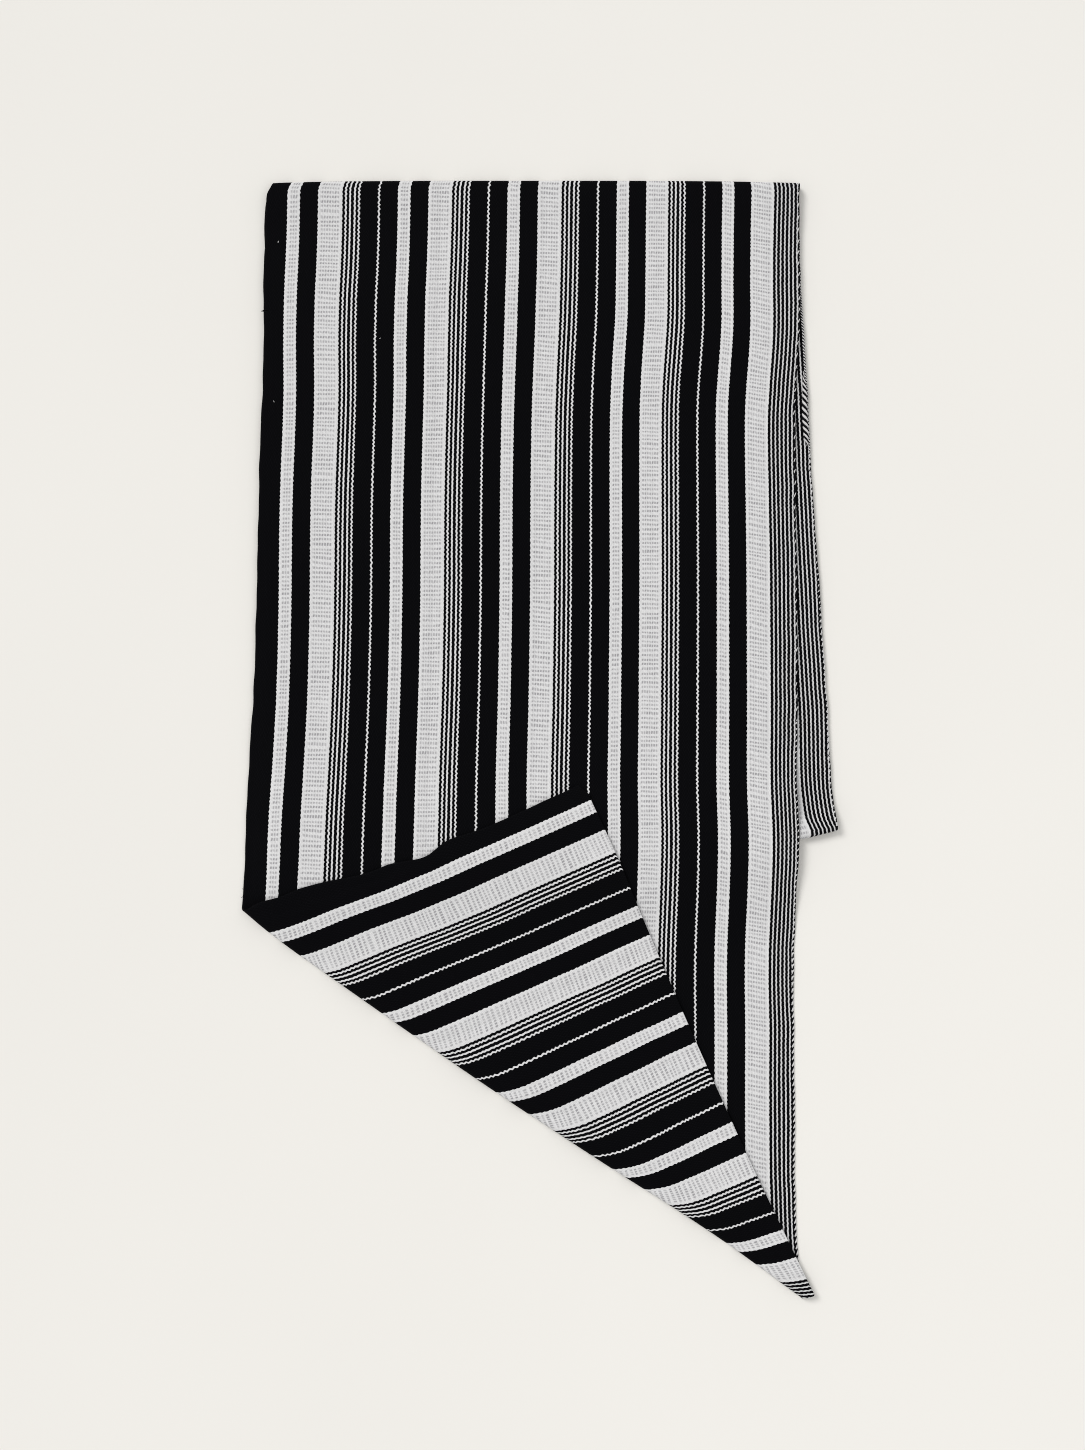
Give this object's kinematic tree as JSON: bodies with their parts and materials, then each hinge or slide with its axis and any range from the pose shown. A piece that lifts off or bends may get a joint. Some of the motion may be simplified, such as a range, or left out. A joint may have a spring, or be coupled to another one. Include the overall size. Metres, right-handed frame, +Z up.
{
  "type": "folded striped cotton cloth",
  "caption": "Loom-width length of black and white striped danfani cotton cloth, folded flat in layers with its lower left corner turned diagonally up.",
  "frame": {"origin": "centre of the folded cloth's outline, on the surface it lies on", "axes": "+Z up from the surface, +Y along the stripes towards the top fold, +X to the right seen from above"},
  "size_m": [0.4304, 0.8162, 0.011],
  "materials": {
    "striped_cotton": "matte warp-faced plain weave in black and white lengthwise stripes"
  },
  "bodies": {
    "root": {"cloth": "striped_cotton"}
  },
  "joints": []
}
